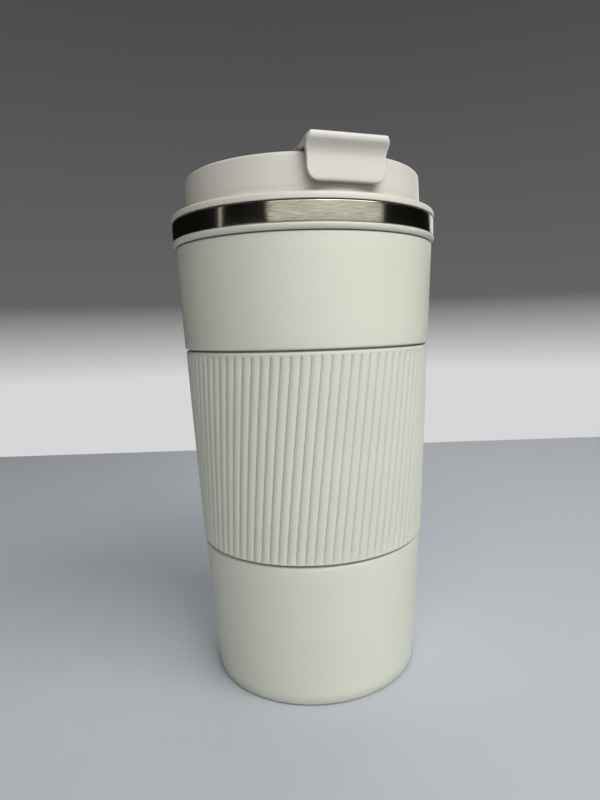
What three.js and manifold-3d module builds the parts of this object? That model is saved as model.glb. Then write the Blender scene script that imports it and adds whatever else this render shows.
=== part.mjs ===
// Insulated travel mug with a screw lid and a flip cover over the drinking hole.
// Millimetres, +Z up the mug's axis. The origin is the centre of the base, on the surface that
// the mug stands on. The flip cover's thumb tab faces -Y.

import * as THREE from 'three';
import { mergeVertices } from 'three/addons/utils/BufferGeometryUtils.js';
import Module from 'manifold-3d';

const wasm = await Module();
wasm.setup();

// ---------------------------------------------------------------- driving dimensions

const TAU = 2 * Math.PI;
const ROUND_STEPS = 40; // facets round the mug
const GAP = 0.3; // clearance between neighbouring pieces

// Crowned taper of the painted wall: radius = BASE_RADIUS + TAPER z - CROWN z^2
const BASE_RADIUS = 35.2;
const TAPER = 0.0617;
const CROWN = 0.000082;

const SHEET = 0.6; // thickness of every steel sheet
const SHELL_FOOT = 0.3; // lowest point of the painted shell
const SLEEVE_BOTTOM = 46.8;
const SLEEVE_TOP = 111;
const SLEEVE_RECESS = 1.5; // depth of the groove that the sleeve lies in
const SHOULDER_Z = 143; // top of the visible painted wall
const COLLAR_RADIUS = 40.6; // painted collar hidden under the lid's skirt
const COLLAR_TOP = 147.2;

const VACUUM_WIDTH = 3.0; // between the liner and the recessed part of the shell
const LINER_FLOOR = 11;
const LINER_CORNER = 7; // inside radius where the liner's wall meets its floor
const NECK_RADIUS = 38.4; // inside of the mouth
const SEAT_Z = 125.8; // bottom of the 45 degree seat for the lid's gasket
const MOUTH_Z = 148.2;

const THREAD_STARTS = 2;
const THREAD_LEAD = 8; // rise in one full turn
const THREAD_CREST_WIDTH = 1.2;
const THREAD_ROOT_WIDTH = 2.2;
const THREAD_STEPS_PER_TURN = 30;
const THREAD_BURY = 0.4; // how far a ridge reaches into the wall that carries it
const LID_THREAD = { from: 133, to: 141, root: 36.4, crest: 37.8 };
const LINER_THREAD = { from: 131.5, to: 141.5, root: NECK_RADIUS, crest: 37.3 };

const GASKET_INNER = 34.2;
const GASKET_OUTER = 36.7;
const GASKET_BOTTOM = 126.9;
const GASKET_TOP = 131.2;
const CORE_RADIUS = GASKET_INNER - GAP;

const PLUG_BOTTOM = 124.8;
const PLUG_WALL = 1.6;
const SKIRT_BOTTOM = 143.4;
const SKIRT_RADIUS = 43.3;
const TRIM_BOTTOM = 145.3;
const TRIM_TOP = 150.9;
const TRIM_RADIUS = 43;
const TRIM_THICKNESS = 0.5;

const FLANGE_RADIUS = 43.2;
const FLANGE_TOP = 153.2;
const COVE_RADIUS = 2.2; // hollow curve from the lid's wall to its flange
const LID_WALL_BOTTOM_RADIUS = 38.7;
const RIM_RADIUS = 38.3;
const RIM_TOP = 164.4;
const RIM_INNER_RADIUS = 36.6;
const DECK_TOP = 160.5;
const DECK_THICKNESS = 1.8;
const DECK_BOTTOM = DECK_TOP - DECK_THICKNESS;

const SPOUT = { forward: 27, halfWidth: 8, halfDepth: 4.2 };
const VENT = { forward: 16, radius: 1.7 };
const DUCT_WALL = 1.2;

const HINGE_FORWARD = 6; // hinge pin's distance in front of the mug's axis
const HINGE_Z = 164.2;
const PIN_RADIUS = 1;
const PIN_HOLE_RADIUS = 1.25;
const LUG_INNER_X = 8;
const LUG_OUTER_X = 10.5;
const LUG_RADIUS = 2.5;
const BARREL_RADIUS = 2.4;
const BARREL_HALF_WIDTH = 7.6;

// The flip cover, with heights over the hinge pin and reaches in front of it
const STRAP_UNDER = 0.8;
const STRAP_OVER = 2.4;
const TAB_BACK = 33.3;
const TAB_FRONT = 35;
const TAB_BOTTOM = -8.6;
const TAB_HALF_WIDTH = 11.5;
const TAB_CORNER = 3.8;
const LIP_FRONT = 37;
const LIP_TOP = 3.6;
const LIP_HALF_WIDTH = 11.9;
const LIP_CORNER = 1.3;
const STRAP_WIDENS_FROM = 5;
const STRAP_WIDENS_TO = 9;

const bodyRadius = (z) => BASE_RADIUS + TAPER * z - CROWN * z * z;
const linerRadius = (z) => bodyRadius(z) - SLEEVE_RECESS - SHEET - VACUUM_WIDTH - SHEET;

// ---------------------------------------------------------------- materials

const finish = (color, roughness, metalness = 0) =>
  new THREE.MeshStandardMaterial({ color, roughness, metalness });

const paint = finish(0xdadccf, 0.45);
const sleeveSilicone = finish(0xd6d9cc, 0.7);
const lidPlastic = finish(0xe2ded3, 0.38);
const brushedSteel = finish(0xb9b4a8, 0.3, 1);
const linerSteel = finish(0xc4c4c2, 0.28, 1);
const plainSteel = finish(0x9fa0a0, 0.4, 1);
const clearSilicone = finish(0xe9e9e6, 0.55);
const footSilicone = finish(0x8d8f8c, 0.8);
const solder = finish(0x6f7176, 0.5, 0.6);
const getterMetal = finish(0x77787c, 0.6, 0.8);

// ---------------------------------------------------------------- shape helpers

const point = (x, y) => new THREE.Vector2(x, y);
const radians = (degrees) => (degrees * Math.PI) / 180;

// Points of an arc in a profile, ends included.
function arc(centreX, centreY, radius, fromDegrees, toDegrees, steps) {
  return Array.from({ length: steps + 1 }, (_, i) => {
    const angle = radians(fromDegrees + ((toDegrees - fromDegrees) * i) / steps);
    return point(centreX + radius * Math.cos(angle), centreY + radius * Math.sin(angle));
  });
}

// Points of a wall whose radius is a function of height, both ends included.
function taperedWall(radiusAt, fromZ, toZ, steps = 1) {
  return Array.from({ length: steps + 1 }, (_, i) => {
    const z = fromZ + ((toZ - fromZ) * i) / steps;
    return point(radiusAt(z), z);
  });
}

function signedVolume(geometry) {
  const position = geometry.attributes.position;
  const index = geometry.index.array;
  const corner = [0, 1, 2].map(() => new THREE.Vector3());
  let volume = 0;
  for (let i = 0; i < index.length; i += 3) {
    corner.forEach((vertex, k) => vertex.fromBufferAttribute(position, index[i + k]));
    volume += corner[0].dot(corner[1].clone().cross(corner[2])) / 6;
  }
  return volume;
}

// Shared vertices merged, collapsed triangles dropped, faces turned outwards.
function closed(geometry) {
  const bare = geometry.clone();
  bare.deleteAttribute('normal');
  bare.deleteAttribute('uv');
  const welded = mergeVertices(bare, 1e-4);
  const kept = [];
  const index = welded.index.array;
  for (let i = 0; i < index.length; i += 3) {
    const [a, b, c] = [index[i], index[i + 1], index[i + 2]];
    if (a !== b && b !== c && c !== a) {
      kept.push(a, b, c);
    }
  }
  welded.setIndex(kept);
  if (signedVolume(welded) < 0) {
    welded.setIndex(kept.reverse());
  }
  return welded;
}

// A profile of (radius, height) points turned round the mug's axis.
function turned(profile, steps = ROUND_STEPS) {
  return closed(new THREE.LatheGeometry(profile, steps).rotateX(Math.PI / 2));
}

// A ring profile closes on itself.
const turnedRing = (profile, steps) => turned([...profile, profile[0]], steps);

// An outline in X and Y, extruded from one height to another.
function upright(outline, fromZ, toZ) {
  const shape = new THREE.Shape(outline);
  const solid = new THREE.ExtrudeGeometry(shape, { depth: toZ - fromZ, bevelEnabled: false });
  return closed(solid.translate(0, 0, fromZ));
}

// An outline of (reach towards -Y, height), extruded along X.
function sideways(outline, fromX, toX) {
  const shape = new THREE.Shape(outline);
  const solid = new THREE.ExtrudeGeometry(shape, { depth: toX - fromX, bevelEnabled: false });
  const forward = new THREE.Vector3(0, -1, 0);
  const up = new THREE.Vector3(0, 0, 1);
  const across = new THREE.Vector3(-1, 0, 0);
  solid.applyMatrix4(new THREE.Matrix4().makeBasis(forward, up, across));
  return closed(solid.translate(toX, 0, 0));
}

// An outline of (x, height), extruded along Y towards the front.
function frontways(outline, fromReach, toReach) {
  const shape = new THREE.Shape(outline);
  const solid = new THREE.ExtrudeGeometry(shape, { depth: toReach - fromReach, bevelEnabled: false });
  return closed(solid.rotateX(Math.PI / 2).translate(0, -fromReach, 0));
}

// Slot outline with three-sided ends, long in X, centred forward of the axis.
function slotOutline(forward, halfWidth, halfDepth, steps = 3) {
  const straight = halfWidth - halfDepth;
  return [
    ...arc(straight, -forward, halfDepth, -90, 90, steps),
    ...arc(-straight, -forward, halfDepth, 90, 270, steps),
  ];
}

function discOutline(forward, radius, steps = 8) {
  return arc(0, -forward, radius, 0, 360, steps).slice(0, -1);
}

// ---------------------------------------------------------------- booleans

function toSolid(geometry) {
  return new wasm.Manifold(
    new wasm.Mesh({
      numProp: 3,
      vertProperties: new Float32Array(geometry.attributes.position.array),
      triVerts: new Uint32Array(geometry.index.array),
    }),
  );
}

function fromSolid(solid) {
  const mesh = solid.getMesh();
  const geometry = new THREE.BufferGeometry();
  geometry.setAttribute('position', new THREE.BufferAttribute(mesh.vertProperties, 3));
  geometry.setIndex(new THREE.BufferAttribute(mesh.triVerts, 1));
  return geometry;
}

const joined = (first, ...others) =>
  fromSolid(others.reduce((solid, other) => solid.add(toSolid(other)), toSolid(first)));

const cut = (first, ...others) =>
  fromSolid(others.reduce((solid, other) => solid.subtract(toSolid(other)), toSolid(first)));

const common = (first, ...others) =>
  fromSolid(others.reduce((solid, other) => solid.intersect(toSolid(other)), toSolid(first)));

// ---------------------------------------------------------------- threads

// One ridge of a right-hand thread, buried in its wall and fading out at both ends.
function threadRidge({ from, to, root, crest }, phaseZ, startAngle) {
  const outwards = Math.sign(crest - root);
  const turns = (to - from) / THREAD_LEAD;
  const steps = Math.round(turns * THREAD_STEPS_PER_TURN);
  const vertices = [];
  for (let i = 0; i <= steps; i += 1) {
    const z = from + ((to - from) * i) / steps;
    const angle = startAngle + ((z - phaseZ) / THREAD_LEAD) * TAU;
    const height = Math.min(1, (i + 0.3) / 2, (steps - i + 0.3) / 2);
    const tip = root + (crest - root) * height;
    const base = root - outwards * THREAD_BURY;
    const section = [
      [base, -THREAD_ROOT_WIDTH / 2],
      [tip, -THREAD_CREST_WIDTH / 2],
      [tip, THREAD_CREST_WIDTH / 2],
      [base, THREAD_ROOT_WIDTH / 2],
    ];
    for (const [radius, dz] of section) {
      vertices.push(radius * Math.cos(angle), radius * Math.sin(angle), z + dz);
    }
  }
  const index = [0, 1, 2, 0, 2, 3];
  for (let i = 0; i < steps; i += 1) {
    for (let k = 0; k < 4; k += 1) {
      const a = 4 * i + k;
      const b = 4 * i + ((k + 1) % 4);
      index.push(a, a + 4, b, b, a + 4, b + 4);
    }
  }
  const last = 4 * steps;
  index.push(last, last + 2, last + 1, last, last + 3, last + 2);
  const geometry = new THREE.BufferGeometry();
  geometry.setAttribute('position', new THREE.Float32BufferAttribute(vertices, 3));
  geometry.setIndex(index);
  return closed(geometry);
}

function threadRidges(thread, phaseZ) {
  return Array.from({ length: THREAD_STARTS }, (_, start) =>
    threadRidge(thread, phaseZ, (start * TAU) / THREAD_STARTS),
  );
}

const LID_THREAD_PHASE = LID_THREAD.from;
const LINER_THREAD_PHASE = LID_THREAD_PHASE + THREAD_LEAD / THREAD_STARTS / 2;

// ---------------------------------------------------------------- cup

// Painted outer wall: crowned taper, sleeve recess, shoulder and collar.
function outerShell() {
  const recessRadius = (z) => bodyRadius(z) - SLEEVE_RECESS;
  const lead = 0.8; // rounded shoulders at both ends of the recess
  const outside = [
    ...arc(34, SHELL_FOOT + 1.3, 1.3, -90, 0, 3),
    ...taperedWall(bodyRadius, 12, SLEEVE_BOTTOM - lead),
    point(bodyRadius(SLEEVE_BOTTOM) - 0.4, SLEEVE_BOTTOM - 0.1),
    ...taperedWall(recessRadius, SLEEVE_BOTTOM, SLEEVE_TOP),
    point(bodyRadius(SLEEVE_TOP) - 0.2, SLEEVE_TOP + 0.1),
    ...taperedWall(bodyRadius, SLEEVE_TOP + lead / 2, SHOULDER_Z - 0.6),
    point(bodyRadius(SHOULDER_Z) - 0.35, SHOULDER_Z + 0.3),
    point(COLLAR_RADIUS + 0.5, SHOULDER_Z + 1),
    point(COLLAR_RADIUS, SHOULDER_Z + 1.6),
    point(COLLAR_RADIUS, COLLAR_TOP),
  ];
  const insideRadius = (z) => bodyRadius(z) - SHEET;
  const behindRecess = (z) => recessRadius(z) - SHEET;
  const inside = [
    point(COLLAR_RADIUS - SHEET, COLLAR_TOP),
    point(COLLAR_RADIUS - SHEET, SHOULDER_Z + 1.2),
    ...taperedWall(insideRadius, SHOULDER_Z - 0.8, SLEEVE_TOP + 1),
    ...taperedWall(behindRecess, SLEEVE_TOP + SHEET, SLEEVE_BOTTOM - SHEET),
    ...taperedWall(insideRadius, SLEEVE_BOTTOM - 1.4, 6),
    point(BASE_RADIUS - SHEET - 0.1, SHELL_FOOT + 1.3),
    point(34, SHELL_FOOT + SHEET),
  ];
  return turnedRing([...outside, ...inside]);
}

// Bare steel liner: round-cornered floor, tapered wall, gasket seat, threaded neck, rolled mouth.
function innerLiner() {
  const wallFoot = LINER_FLOOR + LINER_CORNER;
  const cornerCentre = linerRadius(wallFoot) - LINER_CORNER;
  const outerWall = (z) => linerRadius(z) + SHEET;
  const outerNeck = NECK_RADIUS + SHEET;
  const seatTop = SEAT_Z + NECK_RADIUS - linerRadius(SEAT_Z);
  const outside = [
    point(0, LINER_FLOOR - SHEET),
    ...arc(cornerCentre, wallFoot, LINER_CORNER + SHEET, -90, -10, 3),
    ...taperedWall(outerWall, wallFoot + 4, SEAT_Z),
    point(outerNeck, seatTop),
    point(outerNeck, MOUTH_Z - SHEET - 0.1),
    point(COLLAR_RADIUS, MOUTH_Z - SHEET - 0.1),
    point(COLLAR_RADIUS, MOUTH_Z - 0.3),
    point(COLLAR_RADIUS - 0.5, MOUTH_Z),
  ];
  const inside = [
    point(NECK_RADIUS + 0.4, MOUTH_Z),
    point(NECK_RADIUS, MOUTH_Z - 0.4),
    point(NECK_RADIUS, seatTop),
    ...taperedWall(linerRadius, SEAT_Z, wallFoot + 4),
    ...arc(cornerCentre, wallFoot, LINER_CORNER, -10, -90, 3),
    point(0, LINER_FLOOR),
  ];
  return joined(turned([...outside, ...inside]), ...threadRidges(LINER_THREAD, LINER_THREAD_PHASE));
}

// Welded steel disc that closes the vacuum space, with a dimple round its evacuation hole.
function shellBottom() {
  return turned([
    point(0, 5.6),
    point(5, 5.6),
    point(7, 5),
    point(33.6, 5),
    point(34.3, 5.4),
    point(34.3, 6.2),
    point(33.6, 5 + SHEET),
    point(7, 5 + SHEET),
    point(5, 5.6 + SHEET),
    point(0, 5.6 + SHEET),
  ]);
}

// Bead that seals the evacuation hole, in the dimple.
function vacuumSeal() {
  return turned([point(0, 4.4), point(1.4, 4.5), point(2.4, 5.1), point(2.2, 5.3), point(0, 5.3)], 16);
}

// Pellet that keeps the vacuum clean, held under the liner's floor.
function getter() {
  return turned([point(0, 8.4), point(5.6, 8.4), point(6, 8.8), point(6, 10.1), point(0, 10.1)], 24);
}

// Pressed stainless cap under the shell, with a shallow seat for the foot pad.
function baseCover() {
  return turned([
    point(0, 1.9),
    point(31.2, 1.9),
    point(31.8, 1.2),
    point(33.2, 1.2),
    point(33.8, 1.8),
    point(33.8, 4.4),
    point(33.2, 4.4),
    point(33.2, 2.1),
    point(32.9, 1.8),
    point(32.2, 1.8),
    point(31.5, 2.5),
    point(0, 2.5),
  ]);
}

// Soft pad that the mug stands on.
function footPad() {
  return turned([point(0, 0), point(30.2, 0), point(30.8, 0.5), point(30.8, 1.6), point(0, 1.6)]);
}

// Silicone band round the middle, in the shell's recess; the outside is at the crest of its ribs.
function gripSleeve() {
  const backRadius = (z) => bodyRadius(z) - SLEEVE_RECESS + GAP;
  const outside = taperedWall(bodyRadius, SLEEVE_BOTTOM + GAP, SLEEVE_TOP - GAP, 2);
  const back = taperedWall(backRadius, SLEEVE_TOP - GAP, SLEEVE_BOTTOM + GAP);
  return turnedRing([...outside, ...back]);
}

// ---------------------------------------------------------------- lid

// Ring that seals the plug on the liner's seat.
function lidGasket() {
  return turnedRing([
    point(GASKET_INNER, GASKET_BOTTOM),
    point(GASKET_OUTER - 0.5, GASKET_BOTTOM),
    point(GASKET_OUTER, GASKET_BOTTOM + 0.5),
    point(GASKET_OUTER, GASKET_TOP),
    point(GASKET_INNER, GASKET_TOP),
  ]);
}

// Lower half of the lid: open threaded plug, flange over the mouth, and skirt round the collar.
function lidBase() {
  const plugRadius = LID_THREAD.root;
  const behindTrim = TRIM_RADIUS - TRIM_THICKNESS - GAP;
  const skirtInner = COLLAR_RADIUS + 0.4;
  const overMouth = MOUTH_Z + 0.4;
  const upstand = 1.2; // wall behind the trim ring's upper half
  const body = turnedRing([
    point(CORE_RADIUS + GAP, GASKET_TOP + GAP),
    point(plugRadius, GASKET_TOP + GAP),
    point(plugRadius, overMouth),
    point(skirtInner, overMouth),
    point(skirtInner, SKIRT_BOTTOM + 1.4),
    point(42.3, SKIRT_BOTTOM),
    point(42.8, SKIRT_BOTTOM),
    point(SKIRT_RADIUS, SKIRT_BOTTOM + 0.5),
    point(SKIRT_RADIUS, TRIM_BOTTOM - GAP - 0.2),
    point(SKIRT_RADIUS - 0.2, TRIM_BOTTOM - GAP),
    point(behindTrim, TRIM_BOTTOM - GAP),
    point(behindTrim, TRIM_TOP - 0.1),
    point(behindTrim - upstand, TRIM_TOP - 0.1),
    point(behindTrim - upstand, overMouth + PLUG_WALL),
    point(plugRadius - PLUG_WALL, overMouth + PLUG_WALL),
    point(plugRadius - PLUG_WALL, GASKET_TOP + 2),
  ]);
  return joined(body, ...threadRidges(LID_THREAD, LID_THREAD_PHASE));
}

// Core pressed up into the plug. Its bead holds the gasket, and it has a duct up to the drinking
// hole and a thin tube up to the vent hole.
function lidCore() {
  const top = DECK_BOTTOM - GAP;
  const tubeFoot = PLUG_BOTTOM + 0.8;
  const { forward, halfWidth, halfDepth } = SPOUT;
  const dish = turned([
    point(0, PLUG_BOTTOM),
    point(34.5, PLUG_BOTTOM),
    point(34.9, PLUG_BOTTOM + 0.4),
    point(34.9, GASKET_BOTTOM - 0.5),
    point(34.6, GASKET_BOTTOM - GAP),
    point(CORE_RADIUS, GASKET_BOTTOM - GAP),
    point(CORE_RADIUS, GASKET_TOP),
    point(CORE_RADIUS - PLUG_WALL, GASKET_TOP),
    point(CORE_RADIUS - PLUG_WALL, PLUG_BOTTOM + PLUG_WALL),
    point(0, PLUG_BOTTOM + PLUG_WALL),
  ]);
  const duct = upright(slotOutline(forward, halfWidth + DUCT_WALL, halfDepth + DUCT_WALL), tubeFoot, top);
  const ventTube = upright(discOutline(VENT.forward, VENT.radius + DUCT_WALL), tubeFoot, top);
  const ductBore = upright(slotOutline(forward, halfWidth, halfDepth), PLUG_BOTTOM - 1, top + 1);
  const ventBore = upright(discOutline(VENT.forward, VENT.radius), PLUG_BOTTOM - 1, top + 1);
  return cut(joined(dish, duct, ventTube), ductBore, ventBore);
}

// Brushed steel band let in between the lid's two halves.
function trimRing() {
  const inner = TRIM_RADIUS - TRIM_THICKNESS;
  return turnedRing([
    point(inner, TRIM_BOTTOM),
    point(TRIM_RADIUS, TRIM_BOTTOM),
    point(TRIM_RADIUS, TRIM_TOP),
    point(inner, TRIM_TOP),
  ]);
}

// Upper half of the lid: flange, coved wall, rounded rim and recessed deck.
function lidCoverBody() {
  const rimRound = 1.2;
  const inset = 0.8;
  const under = TRIM_TOP + GAP;
  return turned([
    point(0, DECK_BOTTOM),
    point(35.6, DECK_BOTTOM),
    point(36.9, DECK_BOTTOM - 1.2),
    point(37.1, under),
    point(FLANGE_RADIUS - 0.3, under),
    point(FLANGE_RADIUS, under + 0.3),
    point(FLANGE_RADIUS, FLANGE_TOP - 1),
    point(FLANGE_RADIUS - 0.3, FLANGE_TOP - 0.4),
    point(FLANGE_RADIUS - 1, FLANGE_TOP - 0.1),
    ...arc(LID_WALL_BOTTOM_RADIUS + COVE_RADIUS, FLANGE_TOP + COVE_RADIUS, COVE_RADIUS, -90, -180, 4),
    ...arc(RIM_RADIUS - rimRound, RIM_TOP - rimRound, rimRound, 0, 90, 3),
    ...arc(RIM_INNER_RADIUS + inset, RIM_TOP - inset, inset, 120, 180, 2),
    point(RIM_INNER_RADIUS, DECK_TOP + 0.8),
    point(RIM_INNER_RADIUS - 0.8, DECK_TOP),
    point(0, DECK_TOP),
  ]);
}

// One hinge lug: a round-topped upright on the deck.
function hingeLug(fromX, toX) {
  const outline = [
    point(HINGE_FORWARD + LUG_RADIUS, DECK_TOP - 0.5),
    ...arc(HINGE_FORWARD, HINGE_Z, LUG_RADIUS, 0, 180, 8),
    point(HINGE_FORWARD - LUG_RADIUS, DECK_TOP - 0.5),
  ];
  return sideways(outline, fromX, toX);
}

function lidCover() {
  const lugs = [hingeLug(LUG_INNER_X, LUG_OUTER_X), hingeLug(-LUG_OUTER_X, -LUG_INNER_X)];
  const pinHole = sideways(arc(HINGE_FORWARD, HINGE_Z, PIN_HOLE_RADIUS, 0, 360, 12).slice(0, -1), -15, 15);
  const { forward, halfWidth, halfDepth } = SPOUT;
  const drinkingHole = upright(slotOutline(forward, halfWidth, halfDepth), DECK_BOTTOM - 1, DECK_TOP + 1);
  const ventHole = upright(discOutline(VENT.forward, VENT.radius), DECK_BOTTOM - 1, DECK_TOP + 1);
  return cut(joined(lidCoverBody(), ...lugs), pinHole, drinkingHole, ventHole);
}

function hingePin() {
  const pin = new THREE.CylinderGeometry(PIN_RADIUS, PIN_RADIUS, 2 * LUG_OUTER_X - 0.4, 12);
  return closed(pin.rotateZ(Math.PI / 2));
}

// ---------------------------------------------------------------- flip cover, about its hinge pin

// Side view: hinge barrel, flat strap, hanging tab and the thumb lip on top of it.
function flipSide() {
  const toeRound = 0.7;
  const tabThickness = TAB_FRONT - TAB_BACK;
  const lipHollow = 2;
  return [
    point(0, STRAP_OVER),
    ...arc(0, 0, BARREL_RADIUS, 105, 375, 10),
    point(TAB_BACK - 1, STRAP_UNDER),
    point(TAB_BACK, STRAP_UNDER - 1),
    point(TAB_BACK, TAB_BOTTOM + 0.5),
    point(TAB_BACK + 0.4, TAB_BOTTOM),
    ...arc(TAB_BACK + tabThickness - toeRound, TAB_BOTTOM + toeRound, toeRound, -90, 0, 2),
    ...arc(TAB_FRONT + lipHollow, 0.3, lipHollow, 180, 115, 4),
    point(LIP_FRONT - 0.4, 2.2),
    point(LIP_FRONT, 2.6),
    point(LIP_FRONT, 3.2),
    point(LIP_FRONT - 0.5, LIP_TOP),
    point(LIP_FRONT - 1.2, LIP_TOP),
    point(TAB_BACK, STRAP_OVER + 0.3),
    point(TAB_BACK - 3, STRAP_OVER),
  ];
}

// Front view: tab with round lower corners, flaring to the wider lip.
function flipFront() {
  const rightHalf = [
    ...arc(TAB_HALF_WIDTH - TAB_CORNER, TAB_BOTTOM + TAB_CORNER, TAB_CORNER, -90, 0, 5),
    point(TAB_HALF_WIDTH, -0.4),
    point(LIP_HALF_WIDTH, 1.7),
    ...arc(LIP_HALF_WIDTH - LIP_CORNER, LIP_TOP - LIP_CORNER, LIP_CORNER, 0, 90, 3),
  ];
  const leftHalf = rightHalf.map(({ x, y }) => point(-x, y)).reverse();
  return [...rightHalf, ...leftHalf];
}

// Top view: narrow between the hinge lugs, then as wide as the lip.
function flipPlan() {
  const half = [
    point(BARREL_HALF_WIDTH, BARREL_RADIUS + 1),
    point(BARREL_HALF_WIDTH, -STRAP_WIDENS_FROM),
    point(LIP_HALF_WIDTH - 1.3, -STRAP_WIDENS_FROM - 0.8),
    point(LIP_HALF_WIDTH, -STRAP_WIDENS_TO + 2),
    point(LIP_HALF_WIDTH, -LIP_FRONT - 1),
  ];
  const mirrored = half.map(({ x, y }) => point(-x, y)).reverse();
  return [...half, ...mirrored];
}

function flipCover() {
  const side = sideways(flipSide(), -LIP_HALF_WIDTH - 1, LIP_HALF_WIDTH + 1);
  const front = frontways(flipFront(), -BARREL_RADIUS - 1, LIP_FRONT + 1);
  const plan = upright(flipPlan(), TAB_BOTTOM - 1, LIP_TOP + 1);
  const pinHole = sideways(arc(0, 0, PIN_HOLE_RADIUS, 0, 360, 12).slice(0, -1), -15, 15);
  return cut(common(side, front, plan), pinHole);
}

// Silicone plug under the strap: a flange that lies on the deck and a nose in the drinking hole.
function spoutStopper() {
  const forward = SPOUT.forward - HINGE_FORWARD;
  const deck = DECK_TOP - HINGE_Z;
  const flange = upright(slotOutline(forward, 9.5, 5.4), deck + GAP, STRAP_UNDER - GAP);
  const nose = upright(slotOutline(forward, 7.4, 3.4), deck - 1.5, deck + GAP + 0.2);
  return joined(flange, nose);
}

// Silicone button under the strap: a small flange and a nib in the vent hole.
function ventStopper() {
  const forward = VENT.forward - HINGE_FORWARD;
  const deck = DECK_TOP - HINGE_Z;
  const flange = upright(discOutline(forward, 2.8), deck + GAP, STRAP_UNDER - GAP);
  const nib = upright(discOutline(forward, 1), deck - 0.5, deck + GAP + 0.2);
  return joined(flange, nib);
}

// ---------------------------------------------------------------- assembly

function mesh(name, geometry, material) {
  const part = new THREE.Mesh(geometry, material);
  part.name = name;
  return part;
}

function group(...children) {
  const assembly = new THREE.Group();
  assembly.add(...children);
  return assembly;
}

const cup = group(
  mesh('outer_shell', outerShell(), paint),
  mesh('inner_liner', innerLiner(), linerSteel),
  mesh('shell_bottom', shellBottom(), plainSteel),
  mesh('vacuum_seal', vacuumSeal(), solder),
  mesh('getter', getter(), getterMetal),
  mesh('base_cover', baseCover(), linerSteel),
  mesh('foot_pad', footPad(), footSilicone),
  mesh('grip_sleeve', gripSleeve(), sleeveSilicone),
);

const flip = group(
  mesh('flip_cover', flipCover(), lidPlastic),
  mesh('spout_stopper', spoutStopper(), clearSilicone),
  mesh('vent_stopper', ventStopper(), clearSilicone),
);
flip.position.set(0, -HINGE_FORWARD, HINGE_Z);

const pin = mesh('hinge_pin', hingePin(), plainSteel);
pin.position.copy(flip.position);

const lid = group(
  mesh('lid_cover', lidCover(), lidPlastic),
  mesh('trim_ring', trimRing(), brushedSteel),
  mesh('lid_base', lidBase(), lidPlastic),
  mesh('lid_core', lidCore(), lidPlastic),
  mesh('lid_gasket', lidGasket(), clearSilicone),
  pin,
  flip,
);

const mug = group(cup, lid);

export default mug;
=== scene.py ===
"""Insulated travel mug: the visible meshes, finishes, studio and camera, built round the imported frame.

Lengths here are millimetres and angles are degrees, unless a name says otherwise. Meshes are made at
one Blender unit to the millimetre and shrunk to metres when they join the frame.
"""

from math import cos, pi, radians, sin, tan

import bmesh
import bpy
from mathutils import Matrix, Vector


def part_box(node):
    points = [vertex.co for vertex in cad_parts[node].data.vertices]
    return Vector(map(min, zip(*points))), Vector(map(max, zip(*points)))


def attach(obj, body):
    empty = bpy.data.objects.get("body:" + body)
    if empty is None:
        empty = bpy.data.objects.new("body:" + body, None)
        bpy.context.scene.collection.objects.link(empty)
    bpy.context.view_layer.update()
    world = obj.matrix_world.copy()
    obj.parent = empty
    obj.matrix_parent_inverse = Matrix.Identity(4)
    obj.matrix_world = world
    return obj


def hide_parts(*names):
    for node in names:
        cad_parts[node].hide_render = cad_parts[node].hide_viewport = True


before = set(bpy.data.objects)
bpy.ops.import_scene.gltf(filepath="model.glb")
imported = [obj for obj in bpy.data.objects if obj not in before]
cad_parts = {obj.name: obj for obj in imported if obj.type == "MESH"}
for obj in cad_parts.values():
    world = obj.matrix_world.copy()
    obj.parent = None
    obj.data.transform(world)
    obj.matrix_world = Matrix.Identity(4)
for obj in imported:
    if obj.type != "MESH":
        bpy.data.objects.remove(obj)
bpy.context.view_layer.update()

MM = 0.001
COLUMNS = 240  # facets round a turned piece
SHARP_ANGLE = 38  # edges that turn by more than this stay crisp
SEAM = 0.12  # open line left between two fitted pieces

# Crowned taper of the painted wall: radius = BASE_RADIUS + TAPER z - CROWN z^2
BASE_RADIUS = 35.2
TAPER = 0.0617
CROWN = 0.000082
SHEET = 0.6  # thickness of the steel

RIBS = 87
RIB_DEPTH = 0.48
RIB_LEAN = 0.16  # degrees round the mug for each millimetre of height
RIB_PHASE = -107.04  # angle of one valley, at RIB_PHASE_Z
RIB_PHASE_Z = 78
RIB_BREADTH = 0.62  # below 1 the crests are broad and the valleys narrow
COLUMNS_PER_RIB = 14
SLEEVE_DEPTH = 1.5  # depth of the groove that holds the sleeve
SLEEVE_GAP = 0.5  # open groove over and under the sleeve
SLEEVE_BACK = 1.4  # from the wall's outline in to the sleeve's back
VACUUM_SPACE = 3

THREAD_LEAD = 8
THREAD_STARTS = 2
RIDGE_WIDTH = 2
RIDGE_STEPS = 120  # mesh steps for each turn of the thread
RIDGE_FADE = 8  # steps over which a ridge dies out at its ends


def outer(node):
    """Largest radius, lowest and highest point of a round CAD node, in millimetres."""
    low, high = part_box(node)
    return high.x / MM, low.z / MM, high.z / MM


def wall(z):
    return BASE_RADIUS + TAPER * z - CROWN * z * z


# ---------------------------------------------------------------- outlines


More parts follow.
